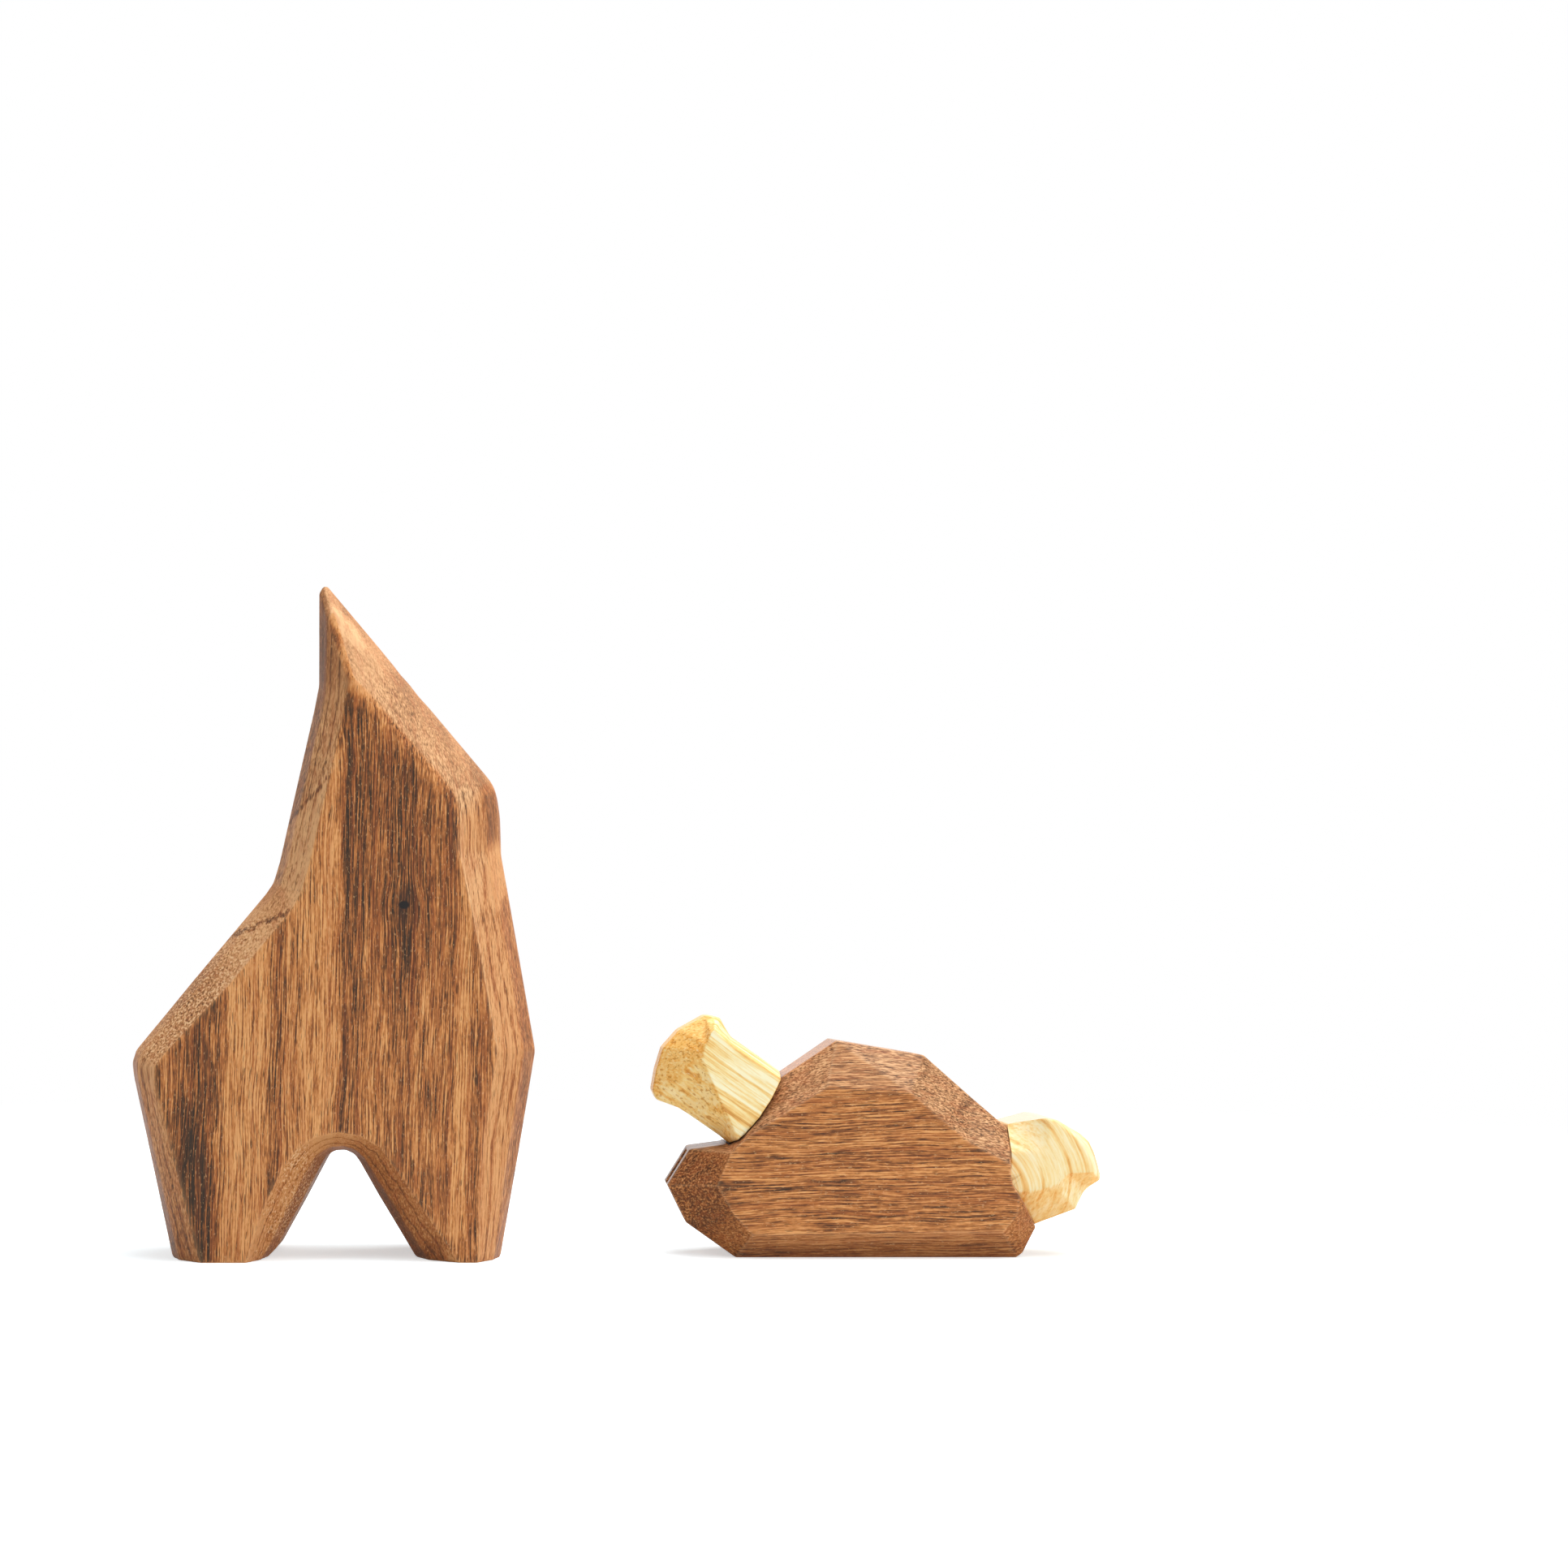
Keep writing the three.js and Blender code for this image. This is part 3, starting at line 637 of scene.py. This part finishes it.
headPiece = {
    "voxel": 0.3, "passes": 20, "keep": 0.25, "seamFade": 1.5, "floorFade": 1.5, "wearDepth": 0.1,
    "ease": 0.12,
    "gapTo": ["horn"], "gapSpan": (0.1, 1.0), "gapShadowShare": 0.85, "gapShade": (36, 22, 15),
    "fibre": (1, 0, 0.02), "face": (-0.02, 0, 1), "depth": (0, 1, 0), "front": -14.5,
    "endSpan": (0.15, 0.55), "flatSpan": (0.82, 0.95),
    "sway": 5.0, "swayRun": 0.014, "ripple": 1.4, "ringTilt": 0.25,
    "bandShare": 0.5, "lift": 0.14, "cutCalm": 0.3, "endCalm": 0.25, "cutFade": 0.0,
    "bands": [
        (-10, 0.4), (0.4, 0.5), (1.3, 0.9), (2.4, 0.9), (3.4, 0.5), (6, 0.36), (8.9, 0.62), (11, 0.4),
        (12.8, 0.6), (15.7, 0.7), (18, 0.35), (21.6, 0.68), (24, 0.38), (28.2, 0.8), (31, 0.5), (36, 0.55),
        (42, 0.4), (60, 0.5),
    ],
    "inward": [(6, 0.5), (10, 0.45), (12, 0.6), (13, 0.45), (15, 0.5)], "inwardShare": 0.3,
    # painted light and shade by facing: direction, its span, centre, reach and darkness
    "facingLightAndShade": [
        ((0, 0, 1), (0.2, 0.5), (57, 40), (60, 40), 0.1),  # along the top
        ((0, 0, -1), (0.3, 0.5), (57, 2), (60, 14), -0.04),  # along the underside
        ((-0.6, 0, -0.8), (0.3, 0.5), (24, 4), (12, 10), 0.2),  # lower corner under the ears
        ((0.8, 0, -0.6), (0.3, 0.5), (89, 6), (12, 12), 0.1),  # lower corner under the muzzle
        ((-1, 0, 0), (0.3, 0.5), (12, 14), (14, 16), 0.15),  # ears
    ],
    "heart": [], "calm": [], "ringEdges": [], "knots": [],
    "clouds": [
        ((13, 14), (12, 12), 0, 0.2),  # ears, painted shade
        ((77.6, 34.8), (5, 1.3), 40, 0.22), ((68, 43), (4, 1.6), 60, 0.12),  # ring lines
    ],
    "openEnds": [((82, 34), (22, 18), 1.7), ((12, 14), (14, 16), 1.9), ((42, 40), (16, 14), 1.2)],
    "pale": (214, 150, 94), "paleShare": 0.3,
    # painted sheen on facets turned up, paler and greyer shades, less on the listed ways; warm: the facets
    # outside it painted warmer
    "sheenSpan": (0.1, 0.5), "lessSheen": [((-1, 0, 0), 0.4)], "warm": (140, 74, 28), "warmShare": 0.3,
    "sheenShades": [(0.0, (218, 170, 124)), (0.27, (188, 138, 94)), (0.52, (150, 103, 66)),
                  (0.78, (102, 68, 44)), (1.0, (56, 40, 28))],
    "shades": [(0.0, (226, 160, 98)), (0.27, (196, 126, 68)), (0.52, (156, 93, 47)),
               (0.78, (100, 60, 32)), (1.0, (54, 36, 22))],
    "red": (170, 86, 40), "redShare": 0.25, "pore": (54, 34, 20), "poreShare": 0.65,
    "fleck": (226, 176, 122), "fleckShare": 0.35, "pepper": 0.7, "endPepper": 0.0,
    "broad": 0.6, "middle": 0.45, "thin": 2.6,
    "wornAndHighlit": (220, 172, 126), "wearAndHighlightShare": 0.4, "bump": 0.35, "wax": 0.65, "waxRough": 0.2,
}
headWood = sanded("head_block", headPiece, [
    "muzzle", "horn", "head_magnet", "muzzle_dowel_upper", "muzzle_dowel_lower", "horn_dowel_front",
    "horn_dowel_rear"])
settle(headWood, "head_block", "head", walnut("oiledWalnutHead", headPiece))

hornTurn = math.radians(-34)
hornPiece = {
    "voxel": 0.25, "passes": 20, "keep": 0.3, "seamFade": 1.0, "floorFade": 0.1, "wearDepth": 0.25,
    "ease": 0.45,
    "gapTo": ["head_block"], "gapSpan": (0.1, 0.5), "gapShadowShare": 0.3, "gapShade": (60, 36, 20),
    "fibre": (math.cos(hornTurn), 0, math.sin(hornTurn)),
    "face": (-math.sin(hornTurn), 0, math.cos(hornTurn)),
    "depth": (0, 1, 0), "front": -12.5, "endSpan": (0.3, 0.7),
    "sway": 2.0, "swayRun": 0.03, "ripple": 0.5, "ringTilt": 0.5, "ringStep": 3.4, "ringWander": 1.4,
    "ringShare": 0.3, "ringWide": 0.28, "lift": 0.26, "broad": 1.9, "middle": 1.0, "thin": 1.2,
    "goldSide": (-0.85, 0, -0.5), "goldSpan": (0.1, 0.5), "goldShare": 0.85, "turnShare": 0.7,
    "paleSide": (0.56, 0, 0.83),
    # painted light and shade by facing: direction, its span, centre, reach and darkness
    "facingLightAndShade": [
        ((-0.8, 0, 0.6), (0.4, 0.6), (12, 45), (14, 16), 0.08),  # cap
        ((-0.5, 0, -0.85), (0.4, 0.6), (18, 32), (16, 14), -0.12),  # underside
    ],
    "shades": [(0.0, (252, 238, 198)), (0.3, (248, 220, 156)), (0.6, (240, 190, 110)),
               (1.0, (210, 142, 66))],
    "pore": (204, 134, 54), "end": (255, 218, 148), "endShare": 0.82, "dotShare": 0.9,
    "wornAndHighlit": (250, 232, 186), "wearAndHighlightShare": 0.15, "bump": 0.3, "wax": 0.4, "waxRough": 0.2,
}
hornWood = sanded("horn", hornPiece, ["head_block", "horn_dowel_front", "horn_dowel_rear"])
settle(hornWood, "horn", "head", ash("oiledAshHorn", hornPiece))

muzzlePiece = {
    "voxel": 0.25, "passes": 20, "keep": 0.3, "seamFade": 1.0, "floorFade": 0.1, "wearDepth": 0.25,
    "ease": 0.5,
    "zones": [((92, 15), (98, 18), 6, 1.0)],
    "flush": {"seam": 87.0, "reach": 9.0, "least": 0.06, "half": 12.5, "from": 24.0, "slope": 0.85},
    "fibre": (-0.35, 0, 0.937), "face": (0.937, 0, 0.35), "depth": (0, 1, 0), "front": -12.5,
    "endSpan": (0.6, 0.9),
    "sway": 2.0, "swayRun": 0.03, "ripple": 0.9, "ringTilt": 0.3, "pith": (78.7, 13.4),
    "ringStep": 3.8, "ringWander": 0.7, "ringShare": 0.42, "ringWide": 0.2,
    "lift": 0.24, "broad": 0.8, "middle": 0.8, "thin": 0.8,
    "goldSide": (0, 0, -1), "goldSpan": (0.2, 0.7), "goldShare": 0.8, "turnShare": 0.0,
    # top: colour of the painted reflection on faces turned up
    "paleSide": (0, 0, 1), "top": (232, 208, 186), "topSheenShare": 0.6,
    "facingLightAndShade": [],
    "shades": [(0.0, (246, 227, 186)), (0.3, (243, 212, 150)), (0.6, (238, 184, 108)),
               (1.0, (212, 142, 68))],
    "pore": (200, 132, 58), "end": (254, 208, 142), "endShare": 0.9, "dotShare": 0.35,
    "wornAndHighlit": (250, 234, 190), "wearAndHighlightShare": 0.12, "bump": 0.3, "wax": 0.9, "waxRough": 0.2,
}
muzzleWood = sanded("muzzle", muzzlePiece, ["head_block", "muzzle_dowel_upper", "muzzle_dowel_lower"])
settle(muzzleWood, "muzzle", "head", ash("oiledAshMuzzle", muzzlePiece))
print("wooden pieces ready")

# bumpDepth in millimetres
magnetLook = {"plate": (198, 196, 190), "dull": (150, 146, 140), "rough": 0.24,
              "bump": 0.2, "bumpDepth": 0.03}


def nickel(name, look):
    material, sheet = newFinish(name)
    place = millimetres(sheet, sheet.node("ShaderNodeTexCoord")["Object"])
    turned = sheet.noise(sheet.join(place[0] * 0.6, place[1] * 9.0, place[2] * 0.6), 2.0)
    patches = sheet.noise(sheet.join(place[0] * 0.5, place[1] * 0.5, place[2] * 0.5), 3.0)
    colour = sheet.mix(sheet.step(patches, 0.35, 0.75), tint(*look["plate"]), tint(*look["dull"]))
    roughness = look["rough"] + turned * 0.14 + patches * 0.1
    bump = sheet.node("ShaderNodeBump", None, {
        "Strength": look["bump"], "Distance": look["bumpDepth"] * mm, "Height": turned})["Normal"]
    shader = sheet.node("ShaderNodeBsdfPrincipled", None, {
        "Base Color": colour, "Roughness": roughness, "Normal": bump, "Metallic": 1.0})
    sheet.node("ShaderNodeOutputMaterial", None, {"Surface": shader["BSDF"]})
    return material


dowelLook = {"pale": (214, 172, 128), "line": (178, 128, 86), "ray": (150, 100, 64), "rayShare": 0.6,
             "bump": 0.3, "bumpDepth": 0.05}


def beech(name, look):
    material, sheet = newFinish(name)
    place = millimetres(sheet, sheet.node("ShaderNodeTexCoord")["Object"])
    lines = sheet.noise(sheet.join(place[0] * 0.08, place[1] * 2.2, place[2] * 2.2), 3.0)
    rays = sheet.noise(sheet.join(place[0] * 0.5, place[1] * 3.5, place[2] * 3.5), 1.0)
    rays = sheet.step(rays, 0.6, 0.72)
    colour = sheet.mix(sheet.step(lines, 0.35, 0.7), tint(*look["pale"]), tint(*look["line"]))
    colour = sheet.mix(rays * look["rayShare"], colour, tint(*look["ray"]))
    bump = sheet.node("ShaderNodeBump", None, {
        "Strength": look["bump"], "Distance": look["bumpDepth"] * mm, "Height": lines - rays})["Normal"]
    shader = sheet.node("ShaderNodeBsdfPrincipled", None, {
        "Base Color": colour, "Roughness": 0.6 + lines * 0.15, "Normal": bump})
    sheet.node("ShaderNodeOutputMaterial", None, {"Surface": shader["BSDF"]})
    return material


def dress(node, material):
    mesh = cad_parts[node].data
    mesh.materials.clear()
    mesh.materials.append(material)


magnetPlate, dowelWood = nickel("nickelPlate", magnetLook), beech("beechDowel", dowelLook)
for name in ("neck_magnet", "head_magnet"):
    dress(name, magnetPlate)
for name in ("muzzle_dowel_upper", "muzzle_dowel_lower", "horn_dowel_front", "horn_dowel_rear"):
    dress(name, dowelWood)
print("magnets and dowels finished")
